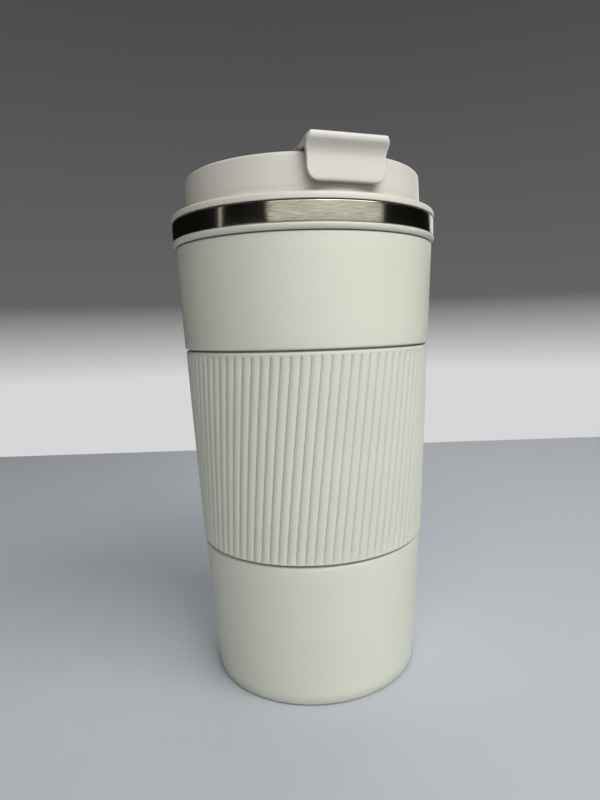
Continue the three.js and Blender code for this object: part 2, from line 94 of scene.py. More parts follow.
def rounded(corners, steps=6):
    """Outline from (x, y, corner radius) triples: a corner with a radius becomes an arc."""
    outline = []
    count = len(corners)
    for i, (x, y, radius) in enumerate(corners):
        here = Vector((x, y))
        if radius <= 0:
            outline.append((x, y))
            continue
        to_last = (Vector(corners[i - 1][:2]) - here).normalized()
        to_next = (Vector(corners[(i + 1) % count][:2]) - here).normalized()
        half = to_last.angle(to_next) / 2
        reach = radius / tan(half)
        centre = here + (to_last + to_next).normalized() * radius / sin(half)
        start = here + to_last * reach - centre
        turn = to_last.angle_signed(to_next)
        sweep = (pi - abs(turn)) * (1 if turn > 0 else -1)
        for k in range(steps + 1):
            angle = sweep * k / steps
            spoke = Matrix.Rotation(angle, 2) @ start
            outline.append(tuple(centre + spoke))
    return outline


def wall_points(radius_at, from_z, to_z, count):
    """Plain corners along a wall whose radius is a function of height, ends left out."""
    steps = [from_z + (to_z - from_z) * (i + 1) / (count + 1) for i in range(count)]
    return [(radius_at(z), z, 0) for z in steps]


def slot_outline(forward, half_width, half_depth, steps=16):
    """Round-ended slot in X and Y, long in X, centred forward of the axis."""
    straight = half_width - half_depth
    ends = [(straight, -90), (-straight, 90)]
    return [
        (
            x + half_depth * cos(radians(first + 180 * k / steps)),
            -forward + half_depth * sin(radians(first + 180 * k / steps)),
        )
        for x, first in ends
        for k in range(steps + 1)
    ]


def circle(across, up, radius, steps=32):
    """Circle round a centre in any flat view."""
    spokes = [2 * pi * k / steps for k in range(steps)]
    return [(across + radius * cos(a), up + radius * sin(a)) for a in spokes]


def disc_outline(forward, radius):
    """Circle in X and Y, centred forward of the axis."""
    return circle(0, -forward, radius)


def mirrored(half):
    """Closes a right-hand half outline with its mirror image."""
    return half + [(-x, y, radius) for x, y, radius in reversed(half)]


# ---------------------------------------------------------------- meshes, in millimetres


def object_from(bm, name):
    bmesh.ops.recalc_face_normals(bm, faces=bm.faces)
    mesh = bpy.data.meshes.new(name)
    bm.to_mesh(mesh)
    bm.free()
    made = bpy.data.objects.new(name, mesh)
    bpy.context.scene.collection.objects.link(made)
    return made


def turned(name, outline, columns=COLUMNS):
    """Revolves an outline of (radius, height). Points on the axis become one pole each."""
    bm = bmesh.new()
    rings = []
    for radius, z in outline:
        if radius == 0:
            rings.append([bm.verts.new((0, 0, z))])
            continue
        spokes = [2 * pi * i / columns for i in range(columns)]
        rings.append([bm.verts.new((radius * cos(a), radius * sin(a), z)) for a in spokes])
    pairs = list(zip(rings, rings[1:]))
    if len(rings[0]) > 1 and len(rings[-1]) > 1:
        pairs.append((rings[-1], rings[0]))
    for lower, upper in pairs:
        for i in range(columns):
            j = (i + 1) % columns
            corners = []
            for corner in (
                lower[i % len(lower)],
                lower[j % len(lower)],
                upper[j % len(upper)],
                upper[i % len(upper)],
            ):
                if corner not in corners:
                    corners.append(corner)
            if len(corners) > 2:
                bm.faces.new(corners)
    return object_from(bm, name)


def prism(name, outline, low, high, place):
    """Extrudes a flat outline from low to high. place(u, v, w) puts a point in the frame."""
    bm = bmesh.new()
    foot = [bm.verts.new(place(u, v, low)) for u, v in outline]
    top = [bm.verts.new(place(u, v, high)) for u, v in outline]
    bm.faces.new(foot)
    bm.faces.new(top)
    for i in range(len(outline)):
        j = (i + 1) % len(outline)
        bm.faces.new((foot[i], foot[j], top[j], top[i]))
    return object_from(bm, name)


def upright(name, outline, low, high):
    return prism(name, outline, low, high, lambda u, v, w: (u, v, w))


def sideways(name, outline, low, high):
    """Outline of (reach towards -Y, height), extruded along X."""
    return prism(name, outline, low, high, lambda u, v, w: (w, -u, v))


def frontways(name, outline, low, high):
    """Outline of (x, height), extruded along Y from reach low to reach high."""
    return prism(name, outline, low, high, lambda u, v, w: (u, -w, v))


def settled(made):
    """The object with its modifiers worked into its mesh."""
    depsgraph = bpy.context.evaluated_depsgraph_get()
    mesh = bpy.data.meshes.new_from_object(made.evaluated_get(depsgraph))
    made.modifiers.clear()
    made.data = mesh
    return made


def combined(made, others, operation):
    """Joins to, cuts from or limits one mesh by others, which are used up."""
    for other in others:
        tool = made.modifiers.new(operation.lower(), "BOOLEAN")
        tool.operation = operation
        tool.solver = "EXACT"
        tool.object = other
        settled(made)
        bpy.data.objects.remove(other)
    return made


def softened(made, width, segments):
    """Rounds every edge that turns by more than the bevel's angle."""
    bevel = made.modifiers.new("edges", "BEVEL")
    bevel.width = width
    bevel.segments = segments
    bevel.limit_method = "ANGLE"
    bevel.angle_limit = radians(50)
    return settled(made)


def dressed(made, body, material, slot, *nodes):
    """Shrinks a finished mesh to metres and puts it in the frame in place of CAD nodes."""
    made.data.transform(Matrix.Scale(MM, 4))
    made.data.materials.clear()
    made.data.materials.append(material)
    made.data.shade_smooth()
    made.data.set_sharp_from_angle(angle=radians(SHARP_ANGLE))
    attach(made, body)
    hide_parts(*nodes)


# ---------------------------------------------------------------- shader helpers


def node(tree, kind, inputs=None, **settings):
    made = tree.nodes.new(kind)
    for name, value in settings.items():
        setattr(made, name, value)
    for key, value in (inputs or {}).items():
        if isinstance(value, bpy.types.NodeSocket):
            tree.links.new(value, made.inputs[key])
        else:
            made.inputs[key].default_value = value
    return made


def maths(tree, operation, *values):
    return node(tree, "ShaderNodeMath", dict(enumerate(values)), operation=operation).outputs[0]


def shader_group(name, inputs, outputs):
    """New node group with named sockets. Returns its tree and its input and output nodes."""
    tree = bpy.data.node_groups.new(name, "ShaderNodeTree")
    for label, kind, value in inputs:
        socket = tree.interface.new_socket(label, in_out="INPUT", socket_type=kind)
        socket.default_value = value
    for label, kind in outputs:
        tree.interface.new_socket(label, in_out="OUTPUT", socket_type=kind)
    return tree, tree.nodes.new("NodeGroupInput"), tree.nodes.new("NodeGroupOutput")


def placed(tree, group, **inputs):
    """Places a shader group in a material, with its inputs named by words joined with _."""
    made = tree.nodes.new("ShaderNodeGroup")
    made.node_tree = group
    for key, value in inputs.items():
        socket = made.inputs[key.replace("_", " ")]
        if isinstance(value, bpy.types.NodeSocket):
            tree.links.new(value, socket)
        else:
            socket.default_value = value
    return made


def grain_group():
    """Fine even grain, as height."""
    tree, given, result = shader_group(
        "fine grain",
        [
            ("Size mm", "NodeSocketFloat", 0.5),
            ("Softness", "NodeSocketFloat", 0.5),
        ],
        [("Height", "NodeSocketFloat")],
    )
    place = node(tree, "ShaderNodeTexCoord").outputs["Object"]
    scale = maths(tree, "DIVIDE", 1 / MM, given.outputs["Size mm"])
    noise = node(
        tree,
        "ShaderNodeTexNoise",
        {"Vector": place, "Scale": scale, "Detail": 3.0, "Roughness": given.outputs["Softness"]},
    )
    tree.links.new(noise.outputs["Fac"], result.inputs["Height"])
    return tree


def drift_group():
    """Slow drift of tone over a surface, and the handling marks that change its gloss."""
    tree, given, result = shader_group(
        "tone drift",
        [
            ("Colour", "NodeSocketColor", (0.8, 0.8, 0.8, 1)),
            ("Drift", "NodeSocketFloat", 0.03),
            ("Gloss", "NodeSocketFloat", 0.4),
            ("Gloss change", "NodeSocketFloat", 0.06),
        ],
        [("Colour", "NodeSocketColor"), ("Roughness", "NodeSocketFloat")],
    )
    place = node(tree, "ShaderNodeTexCoord").outputs["Object"]
    slow = node(tree, "ShaderNodeTexNoise", {"Vector": place, "Scale": 28.0, "Detail": 2.0})
    marks = node(
        tree,
        "ShaderNodeTexNoise",
        {"Vector": place, "Scale": 110.0, "Detail": 6.0, "Roughness": 0.62, "Distortion": 0.6},
    )
    shade = node(
        tree,
        "ShaderNodeMapRange",
        {
            "Value": slow.outputs["Fac"],
            "From Min": 0.3,
            "From Max": 0.7,
            "To Min": maths(tree, "SUBTRACT", 1.0, given.outputs["Drift"]),
            "To Max": maths(tree, "ADD", 1.0, given.outputs["Drift"]),
        },
    )
    tinted = node(
        tree,
        "ShaderNodeVectorMath",
        {0: given.outputs["Colour"], "Scale": shade.outputs["Result"]},
        operation="SCALE",
    )
    tree.links.new(tinted.outputs["Vector"], result.inputs["Colour"])
    offset = maths(tree, "SUBTRACT", marks.outputs["Fac"], 0.5)
    change = maths(tree, "MULTIPLY", offset, given.outputs["Gloss change"])
    total = maths(tree, "ADD", given.outputs["Gloss"], maths(tree, "MULTIPLY", change, 4.0))
    tree.links.new(total, result.inputs["Roughness"])
    return tree


def edge_group():
    """Colour that is lighter on raised edges, and painted shade that darkens hollows, seams and the
    ground under overhangs.
    """
    tree, given, result = shader_group(
        "edges and hollows",
        [
            ("Colour", "NodeSocketColor", (0.8, 0.8, 0.8, 1)),
            ("Edge colour", "NodeSocketColor", (0.9, 0.9, 0.9, 1)),
            ("Hollow colour", "NodeSocketColor", (0.5, 0.5, 0.5, 1)),
            ("Edge share", "NodeSocketFloat", 0.3),
            ("Hollow share", "NodeSocketFloat", 0.3),
            ("Hollow reach mm", "NodeSocketFloat", 4.0),
        ],
        [("Colour", "NodeSocketColor")],
    )
    bend = node(tree, "ShaderNodeNewGeometry").outputs["Pointiness"]
    raised = node(
        tree, "ShaderNodeMapRange", {"Value": bend, "From Min": 0.515, "From Max": 0.58}
    )
    reach = maths(tree, "MULTIPLY", given.outputs["Hollow reach mm"], MM)
    # Painted shade: ambient occlusion finds hollows, seams and overhangs, and the hollow colour darkens
    # them.
    openness = node(tree, "ShaderNodeAmbientOcclusion", {"Distance": reach}, samples=12)
    sunk = node(
        tree,
        "ShaderNodeMapRange",
        {"Value": openness.outputs["AO"], "From Min": 0.97, "From Max": 0.35},
    )
    colour = given.outputs["Colour"]
    for label, found in (("Edge", raised), ("Hollow", sunk)):
        share = maths(tree, "MULTIPLY", found.outputs["Result"], given.outputs[f"{label} share"])
        mixed = node(
            tree,
            "ShaderNodeMix",
            {"Factor": share, 6: colour, 7: given.outputs[f"{label} colour"]},
            data_type="RGBA",
        )
        colour = mixed.outputs[2]
    tree.links.new(colour, result.inputs["Colour"])
    return tree


def brushing_group():
    """Fine scratches that run round the axis, as a mask and a height."""
    tree, given, result = shader_group(
        "brushed rings",
        [
            ("Lines per mm", "NodeSocketFloat", 6.0),
            ("Length", "NodeSocketFloat", 5.0),
        ],
        [("Mask", "NodeSocketFloat"), ("Height", "NodeSocketFloat")],
    )
    place = node(tree, "ShaderNodeTexCoord").outputs["Object"]
    parts = node(tree, "ShaderNodeSeparateXYZ", {0: place})
    flat = node(tree, "ShaderNodeCombineXYZ", {0: parts.outputs["X"], 1: parts.outputs["Y"]})
    spoke = node(tree, "ShaderNodeVectorMath", {0: flat.outputs[0]}, operation="NORMALIZE")
    round_axis = node(
        tree,
        "ShaderNodeVectorMath",
        {0: spoke.outputs["Vector"], "Scale": given.outputs["Length"]},
        operation="SCALE",
    )
    radius = node(tree, "ShaderNodeVectorMath", {0: flat.outputs[0]}, operation="LENGTH")
    along = maths(tree, "ADD", parts.outputs["Z"], radius.outputs["Value"])
    density = maths(tree, "MULTIPLY", given.outputs["Lines per mm"], 1 / MM)
    across = node(tree, "ShaderNodeCombineXYZ", {2: maths(tree, "MULTIPLY", along, density)})
    both = node(
        tree,
        "ShaderNodeVectorMath",
        {0: round_axis.outputs["Vector"], 1: across.outputs[0]},
        operation="ADD",
    )
    lines = node(
        tree,
        "ShaderNodeTexNoise",
        {"Vector": both.outputs["Vector"], "Scale": 1.0, "Detail": 4.0, "Roughness": 0.7},
    )
    spread = node(
        tree,
        "ShaderNodeMapRange",
        {"Value": lines.outputs["Fac"], "From Min": 0.3, "From Max": 0.7},
    )
    tree.links.new(spread.outputs["Result"], result.inputs["Mask"])
    tree.links.new(lines.outputs["Fac"], result.inputs["Height"])
    return tree


FINE_GRAIN = grain_group()
TONE_DRIFT = drift_group()
EDGES = edge_group()
BRUSHED_RINGS = brushing_group()


def new_material(name):
    material = bpy.data.materials.new(name)
    material.use_nodes = True
    tree = material.node_tree
    return material, tree, tree.nodes["Principled BSDF"]


def bump(tree, height, depth_mm):
    made = node(
        tree,
        "ShaderNodeBump",
        {"Height": height, "Distance": depth_mm * MM, "Strength": 1.0},
    )
    return made.outputs["Normal"]


def moulded(
    name,
    colour,
    edge,
    hollow,
    gloss,
    grain_mm,
    grain_depth,
    drift=0.02,
    hollow_share=0.8,
    hollow_reach=4.0,
):
    """Opaque paint, plastic or silicone: tone drift, a lighter tint on edges, painted shade in hollows,
    and a fine grain.
    """
    material, tree, shader = new_material(name)
    drift_node = placed(
        tree, TONE_DRIFT, Colour=(*colour, 1), Drift=drift, Gloss=gloss, Gloss_change=0.05
    )
    edges = placed(
        tree,
        EDGES,
        Colour=drift_node.outputs["Colour"],
        Edge_colour=(*edge, 1),
        Hollow_colour=(*hollow, 1),
        Edge_share=0.35,
        # The hollow colour is painted shade, laid on where ambient occlusion finds hollows and seams.
        Hollow_share=hollow_share,
        Hollow_reach_mm=hollow_reach,
    )
    grain = placed(tree, FINE_GRAIN, Size_mm=grain_mm)
    tree.links.new(edges.outputs["Colour"], shader.inputs["Base Color"])
    tree.links.new(drift_node.outputs["Roughness"], shader.inputs["Roughness"])
    tree.links.new(bump(tree, grain.outputs["Height"], grain_depth), shader.inputs["Normal"])
    return material, shader


def painted_steel():
    """Off-white powder coat: a faint orange peel, lighter on the edges, with painted shade in its
    grooves and seams.
    """
    material, shader = moulded(
        "off_white_powder_coat",
        colour=(0.78, 0.79, 0.665),
        edge=(0.84, 0.85, 0.74),
        # Painted shade in the sleeve grooves, the seams and under the lid's lip.
        hollow=(0.28, 0.285, 0.235),
        gloss=0.38,
        grain_mm=0.9,
        grain_depth=0.05,
        hollow_share=0.6,
    )
    shader.inputs["Specular IOR Level"].default_value = 0.45
    return material


def sleeve_silicone():
    """Soft silicone of the same tint, duller, with painted shade darkening the valleys between the ribs.
    """
    material, shader = moulded(
        "off_white_grip_silicone",
        colour=(0.75, 0.762, 0.64),
        edge=(0.81, 0.822, 0.70),
        # Painted shade in the valleys between the ribs.
        hollow=(0.36, 0.366, 0.30),
        gloss=0.56,
        grain_mm=0.35,
        grain_depth=0.012,
        drift=0.025,
    )
    shader.inputs["Sheen Weight"].default_value = 0.08
    shader.inputs["Sheen Roughness"].default_value = 0.5
    return material


def lid_plastic(name, hollow_share, hollow_reach):
    """Warm white satin polypropylene."""
    material, shader = moulded(
        name,
        colour=(0.80, 0.765, 0.68),
        edge=(0.86, 0.83, 0.76),
        # Painted shade in hollows, as deep and as far as the caller asks.
        hollow=(0.26, 0.235, 0.195),
        gloss=0.34,
        grain_mm=0.5,
        grain_depth=0.02,
        hollow_share=hollow_share,
        hollow_reach=hollow_reach,
    )
    shader.inputs["Subsurface Weight"].default_value = 0.08
    shader.inputs["Subsurface Radius"].default_value = (0.002, 0.0016, 0.0012)
    return material


def seal_silicone():
    """Milky silicone of the stopper, the button and the gasket."""
    material, shader = moulded(
        "milky_seal_silicone",
        colour=(0.74, 0.74, 0.71),
        edge=(0.82, 0.82, 0.80),
        # Painted shade in hollows, faint on this pale silicone.
        hollow=(0.58, 0.58, 0.55),
        gloss=0.4,
        grain_mm=0.4,
        grain_depth=0.02,
    )
    shader.inputs["Subsurface Weight"].default_value = 0.25
    shader.inputs["Subsurface Radius"].default_value = (0.003, 0.0026, 0.0022)
    return material


def foot_silicone():
    """Grey silicone under the base, scuffed where it meets the table."""
    material, _ = moulded(
        "grey_foot_silicone",
        colour=(0.26, 0.27, 0.26),
        edge=(0.36, 0.37, 0.36),
        # Painted shade in the grip rings.
        hollow=(0.16, 0.16, 0.16),
        gloss=0.62,
        grain_mm=0.3,
        grain_depth=0.04,
        drift=0.08,
    )
    return material


def ring_steel(name, dark, light, gloss, lines, length, depth, anisotropy):
    """Steel with scratches that run round the axis."""
    material, tree, shader = new_material(name)
    rings = placed(tree, BRUSHED_RINGS, Lines_per_mm=lines, Length=length)
    colour = node(
        tree,
        "ShaderNodeMix",
        {"Factor": rings.outputs["Mask"], 6: (*dark, 1), 7: (*light, 1)},
        data_type="RGBA",
    )
    drift_node = placed(
        tree, TONE_DRIFT, Colour=colour.outputs[2], Drift=0.04, Gloss=gloss, Gloss_change=0.03
    )
    rough = node(
        tree,
        "ShaderNodeMapRange",
        {"Value": rings.outputs["Mask"], "To Min": 0.04, "To Max": -0.04},
    )
    total = maths(tree, "ADD", drift_node.outputs["Roughness"], rough.outputs["Result"])
    tree.links.new(drift_node.outputs["Colour"], shader.inputs["Base Color"])
    tree.links.new(total, shader.inputs["Roughness"])
    tree.links.new(bump(tree, rings.outputs["Height"], depth), shader.inputs["Normal"])
    shader.inputs["Metallic"].default_value = 1.0
    shader.inputs["Anisotropic"].default_value = anisotropy
    shader.inputs["Anisotropic Rotation"].default_value = 0.25
    tangent = node(tree, "ShaderNodeTangent", direction_type="RADIAL", axis="Z")
    tree.links.new(tangent.outputs["Tangent"], shader.inputs["Tangent"])
    return material


def trim_steel():
    """Warm brushed steel of the band, with fine bright scratches."""
    return ring_steel(
        "brushed_trim_steel",
        dark=(0.32, 0.30, 0.225),
        light=(0.95, 0.89, 0.72),
        gloss=0.17,
        lines=9,
        length=10,
        depth=0.006,
        anisotropy=0.8,
    )


def liner_steel():
    """Bare steel of the liner and the base, spun to a softer finish."""
    return ring_steel(
        "spun_liner_steel",
        dark=(0.56, 0.56, 0.55),
        light=(0.70, 0.70, 0.69),
        gloss=0.3,
        lines=3,
        length=8,
        depth=0.003,
        anisotropy=0.4,
    )


def plain_steel():
    """Duller steel of the hinge pin and the disc under the shell."""
    return ring_steel(
        "plain_rolled_steel",
        dark=(0.46, 0.46, 0.46),
        light=(0.6, 0.6, 0.6),
        gloss=0.38,
        lines=5,
        length=20,
        depth=0.003,
        anisotropy=0.2,
    )


def fused_bead():
    """Dark glassy bead that closes the evacuation hole."""
    material, shader = moulded(
        "fused_glass_bead",
        colour=(0.14, 0.15, 0.17),
        edge=(0.25, 0.26, 0.28),
        # Painted shade in hollows.
        hollow=(0.08, 0.08, 0.09),
        gloss=0.3,
        grain_mm=0.4,
        grain_depth=0.03,
    )
    shader.inputs["Coat Weight"].default_value = 0.4
    return material


def sintered_metal():
    """Grey pressed pellet of the getter."""
    material, shader = moulded(
        "sintered_getter",
        colour=(0.2, 0.2, 0.21),
        edge=(0.3, 0.3, 0.31),
        # Painted shade in hollows.
        hollow=(0.1, 0.1, 0.1),
        gloss=0.65,
        grain_mm=0.15,
        grain_depth=0.05,
        drift=0.06,
    )
    shader.inputs["Metallic"].default_value = 0.8
    return material


# ---------------------------------------------------------------- threads


def thread_ridge(name, root, crest, from_z, to_z, phase_z, start):
    """One ridge of the right-hand thread, with a rounded crest that fades out at both ends."""
    inwards = -1 if crest > root else 1
    section = [(-0.4, -0.56), (0.0, -0.5), (0.7, -0.34), (1.0, -0.16)]
    section += [(height, -across) for height, across in reversed(section)]
    section = [(height, across * RIDGE_WIDTH) for height, across in section]
    steps = round((to_z - from_z) / THREAD_LEAD * RIDGE_STEPS)
    bm = bmesh.new()
    loops = []
    for i in range(steps + 1):
        z = from_z + (to_z - from_z) * i / steps
        angle = 2 * pi * ((z - phase_z) / THREAD_LEAD + start / THREAD_STARTS)
        fade = min(1, (i + 0.5) / RIDGE_FADE, (steps - i + 0.5) / RIDGE_FADE)
        loop = []
        for height, across in section:
            rise = height * fade * abs(crest - root) if height > 0 else height
            radius = root - inwards * rise
            loop.append(bm.verts.new((radius * cos(angle), radius * sin(angle), z + across)))
        loops.append(loop)
    for lower, upper in zip(loops, loops[1:]):
        for k in range(len(section)):
            j = (k + 1) % len(section)
            bm.faces.new((lower[k], lower[j], upper[j], upper[k]))
    bm.faces.new(loops[0])
    bm.faces.new(loops[-1])
    return object_from(bm, name)


def thread_ridges(root, crest, from_z, to_z, phase_z):
    return [
        thread_ridge(f"ridge_{start}", root, crest, from_z, to_z, phase_z, start)
        for start in range(THREAD_STARTS)
    ]


# ---------------------------------------------------------------- cup


def painted_shell(material):
    """Outer wall with the groove for the sleeve, the shoulder and the collar under the lid."""
    _, foot, collar_top = outer("outer_shell")
    _, sleeve_low, sleeve_high = outer("grip_sleeve")
    low_edge = sleeve_low - SLEEVE_GAP
    high_edge = sleeve_high + SLEEVE_GAP
    shoulder = 143.2
    collar = outer("inner_liner")[0]
    inside = collar - SHEET
    foot_bore = 33.9
    over_groove = 112
    under_groove = 46
    corners = [
        (foot_bore, foot, 0.2),
        (wall(foot), foot, 0.4),
        *wall_points(wall, foot, low_edge, 7),
        (wall(low_edge), low_edge, 1.4),
        (wall(low_edge) - SLEEVE_DEPTH, low_edge, 0.08),
        (wall(high_edge) - SLEEVE_DEPTH, high_edge, 0.2),
        (wall(high_edge), high_edge, 0.7),
        *wall_points(wall, high_edge, shoulder, 5),
        (wall(shoulder), shoulder, 0.7),
        (collar, shoulder + 0.1, 0.3),
        (collar, collar_top, 0.2),
        (inside, collar_top, 0.2),
        (inside, shoulder - 0.2, 0.3),
        (wall(shoulder - 0.8) - SHEET, shoulder - 0.8, 0),
        (wall(over_groove) - SHEET, high_edge + SHEET, 0),
        (wall(over_groove) - SLEEVE_DEPTH - SHEET, high_edge + SHEET, 0),
        (wall(under_groove) - SLEEVE_DEPTH - SHEET, low_edge - SHEET, 0),
        (wall(under_groove) - SHEET, low_edge - SHEET - 0.3, 0),
        (wall(5) - SHEET, 5, 0),
        (foot_bore, foot + SHEET, 0),
    ]
    made = turned("painted_shell", rounded(corners))
    dressed(made, "cup", material, "painted_shell", "outer_shell")


def sleeve_rows():
    """Heights of the sleeve's rows, each with its rib share and how far it is rounded inwards.

    The ribs run nearly to the bottom edge, and die out under a plain rounded band at the top.
    """
    _, low, high = outer("grip_sleeve")
    ribs_from = low + 1.1
    ribs_to = high - 1.7
    foot_round = 0.3
    foot_steps = 4
    top_round = 0.75
    top_steps = 6
    rib_rows = 18
    rows = []
    for k in range(foot_steps + 1):
        angle = radians(90 * k / foot_steps)
        rows.append((low + foot_round * (1 - cos(angle)), 0.35, foot_round * (1 - sin(angle))))
    rows.append((low + 0.75, 0.55, 0))
    for k in range(rib_rows + 1):
        rows.append((ribs_from + (ribs_to - ribs_from) * k / rib_rows, 1, 0))
    rows.append((high - 1.4, 0.6, 0))
    rows.append((high - 1.15, 0.12, 0))
    for k in range(top_steps + 1):
        angle = radians(90 * k / top_steps)
        rows.append((high - top_round + top_round * sin(angle), 0, top_round * (1 - cos(angle))))
    return rows


def rib_valley(column):
    """How deep a mesh column lies: 1 in the middle of a valley and 0 on the crest."""
    return 1 - abs(sin(pi * column / COLUMNS_PER_RIB)) ** RIB_BREADTH


def ribbed_sleeve(material):
    """Silicone sleeve whose mesh columns follow the lean of its ribs."""
    _, low, high = outer("grip_sleeve")
    rows = sleeve_rows()
    columns = RIBS * COLUMNS_PER_RIB
    proud_low = 0.3
    proud_high = -0.15
    bm = bmesh.new()
    rings = []

    def add_ring(z, radius_at):
        lean = radians(RIB_PHASE + RIB_LEAN * (z - RIB_PHASE_Z))
        ring = []
        for i in range(columns):
            radius = radius_at(i)
            angle = lean + 2 * pi * i / columns
            ring.append(bm.verts.new((radius * cos(angle), radius * sin(angle), z)))
        rings.append(ring)

    for z, share, inset in rows:
        proud = proud_low + (proud_high - proud_low) * (z - low) / (high - low)
        crest = wall(z) + proud - inset
        depth = RIB_DEPTH * share
        add_ring(z, lambda i: crest - depth * rib_valley(i))
    for z in (high, low):
        back = wall(z) - SLEEVE_BACK
        add_ring(z, lambda i: back)
    for lower, upper in zip(rings, rings[1:] + rings[:1]):
        for i in range(columns):
            j = (i + 1) % columns
            bm.faces.new((lower[i], lower[j], upper[j], upper[i]))
    made = object_from(bm, "ribbed_sleeve")
    dressed(made, "cup", material, "sleeve_silicone", "grip_sleeve")


def liner_radius(z):
    """Inside radius of the liner, past both sheets, the groove and the vacuum space."""
    return wall(z) - SLEEVE_DEPTH - SHEET - VACUUM_SPACE - SHEET


def steel_liner(material):
    """Bare liner with the gasket's seat, the threaded neck and the rolled mouth."""
    collar, under, mouth = outer("inner_liner")
    floor_z = under + SHEET
    bend = floor_z + 8
    neck = 38.4
    seat = 125.8
    seat_top = seat + neck - liner_radius(seat)
    roll = mouth - SHEET - 0.2
    corners = [
        (0, under, 0),
        (liner_radius(floor_z) + SHEET, under, 7.5),
        *wall_points(lambda z: liner_radius(z) + SHEET, bend, seat, 4),
        (liner_radius(seat) + SHEET, seat, 0.6),
        (neck + SHEET, seat_top, 0.6),
        (neck + SHEET, roll, 0.3),
        (collar + 0.05, roll, 0.3),
        (collar + 0.05, mouth, 0.55),
        (neck, mouth, 0.6),
        (neck, seat_top, 0.8),
        (liner_radius(seat), seat, 0.8),
        *reversed(wall_points(liner_radius, bend, seat, 4)),
        (liner_radius(floor_z), floor_z, 7),
        (0, floor_z, 0),
    ]
    made = turned("steel_liner", rounded(corners, 8))
    ridges = thread_ridges(root=neck, crest=37.3, from_z=131.5, to_z=141.5, phase_z=135)
    combined(made, ridges, "UNION")
    dressed(made, "cup", material, "liner_steel", "inner_liner")


def base_cap(material):
    """Pressed cap: a standing ring round a flat panel that is set up over the foot pad."""
    radius, low, high = outer("base_cover")
    panel = 1.95
    corners = [
        (0, panel, 0),
        (31.0, panel, 0.4),
        (31.7, low, 0.5),
        (radius, low, 0.7),
        (radius, high, 0.2),
        (radius - 0.5, high, 0.2),
        (radius - 0.6, low + 0.6, 0.5),
        (32.0, low + 0.6, 0.3),
        (31.3, panel + 0.5, 0.3),
        (0, panel + 0.5, 0),
    ]
    made = turned("base_cap", rounded(corners))
    dressed(made, "cup", material, "liner_steel", "base_cover")


def ringed_foot_pad(material):
    """Soft pad with three shallow grip rings moulded in its underside."""
    radius, low, high = outer("foot_pad")
    corners = [(0, low, 0)]
    for groove in (9, 17, 25):
        corners += [
            (groove - 0.9, low, 0.2),
            (groove - 0.5, low + 0.4, 0.15),
            (groove + 0.5, low + 0.4, 0.15),
            (groove + 0.9, low, 0.2),
        ]
    corners += [(radius, low, 0.5), (radius, high + 0.2, 0.2), (0, high + 0.2, 0)]
    made = turned("ringed_foot_pad", rounded(corners, 4))
    dressed(made, "cup", material, "foot_silicone", "foot_pad")


# ---------------------------------------------------------------- lid

HINGE = Vector((0, -6, 164.2))  # middle of the hinge pin
DECK = 160.5  # top of the lid's recessed deck
SPOUT_FORWARD = 27
SPOUT_HALF_WIDTH = 8
SPOUT_HALF_DEPTH = 4.2
VENT_FORWARD = 16
VENT_RADIUS = 1.7
PLUG_RADIUS = 36.4
CORE_RADIUS = 33.9
BAND_THICKNESS = 0.6
BAND_FALL = 0.16  # how far the crowned band falls away at its lower edge


def lid_lug(name, low_x, high_x):
    """Round-topped hinge upright on the deck."""
    radius = 2.5
    reach = -HINGE.y
    arc = [
        (reach + radius * cos(radians(a)), HINGE.z + radius * sin(radians(a)))
        for a in range(0, 181, 9)
    ]
    sunk = DECK - 0.4
    outline = [(reach + radius + 0.4, sunk), *arc, (reach - radius - 0.4, sunk)]
    return softened(sideways(name, outline, low_x, high_x), 0.3, 3)


def drinking_holes(low, high):
    """Cutters for the oval drinking hole and the round vent hole."""
    spout = slot_outline(SPOUT_FORWARD, SPOUT_HALF_WIDTH, SPOUT_HALF_DEPTH)
    return [
        upright("spout_cutter", spout, low, high),
        upright("vent_cutter", disc_outline(VENT_FORWARD, VENT_RADIUS), low, high),
    ]


def lid_top(material):
    """Flange, coved wall, rounded rim and recessed deck, with the hinge lugs and both holes."""
    flange, under, _ = outer("lid_cover")
    deck_under = 158.7
    flange_top = 153.2
    rim = 164.6
    corners = [
        (0, deck_under, 0),
        (36.9, deck_under, 1.0),
        (37.0, under, 0.2),
        (flange, under, 0.25),
        (flange, flange_top, 1.0),
        (38.7, flange_top, 2.3),
        (38.3, rim, 1.1),
        (36.6, rim, 0.8),
        (36.5, DECK, 1.0),
        (0, DECK, 0),
    ]
    made = turned("lid_top", rounded(corners, 10))
    combined(made, [lid_lug("lug_right", 8, 10.5), lid_lug("lug_left", -10.5, -8)], "UNION")
    pin_cutter = sideways("pin_cutter", circle(-HINGE.y, HINGE.z, 1.1), -12, 12)
    combined(made, [pin_cutter, *drinking_holes(deck_under - 1, DECK + 1)], "DIFFERENCE")
    dressed(made, "lid", material, "lid_plastic", "lid_cover")


def steel_band(material):
    """Band with a slight crown that falls away more at its lower edge than at its upper one."""
    radius, low, high = outer("trim_ring")
    half = (high - low) / 2
    middle = (high + low) / 2
    back = radius - BAND_THICKNESS

    def crowned(z):
        fall = BAND_FALL if z < middle else BAND_FALL / 4
        return radius - fall * ((z - middle) / half) ** 2

    corners = [
        (back, low, 0),
        (crowned(low), low, 0.12),
        *wall_points(crowned, low, high, 15),
        (crowned(high), high, 0.22),
        (back, high, 0),
    ]
    made = turned("steel_band", rounded(corners, 4), columns=360)
    dressed(made, "lid", material, "trim_steel", "trim_ring")


